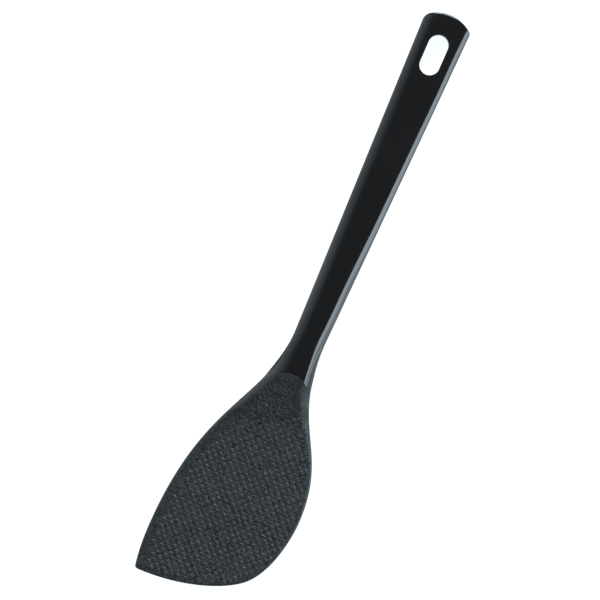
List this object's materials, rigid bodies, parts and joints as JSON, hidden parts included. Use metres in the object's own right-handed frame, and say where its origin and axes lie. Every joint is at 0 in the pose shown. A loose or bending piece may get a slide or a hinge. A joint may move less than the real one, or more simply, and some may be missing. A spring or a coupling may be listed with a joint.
{
  "type": "nylon spatula",
  "caption": "Kitchen spatula with a wide one-cornered embossed blade, a grained throat under an arched seam, and a glossy tapered handle with a hanging slot.",
  "frame": {"origin": "middle of the handle's flat back, on the handle's axis", "axes": "+Y along the handle to its hanging end, +Z out of the front face, +X to the right seen from the front, so the blade's pointed corner is at -X"},
  "size_m": [0.065, 0.3, 0.0123],
  "materials": {
    "blade": "matt black-grey nylon with fine moulded grain, raised dots on the blade and coarser grain in the throat",
    "handle_front": "polished black nylon",
    "handle_rear": "polished black nylon"
  },
  "bodies": {
    "root": {"blade": "blade", "handle_front_shell": "handle_front", "handle_rear_shell": "handle_rear"}
  },
  "joints": []
}
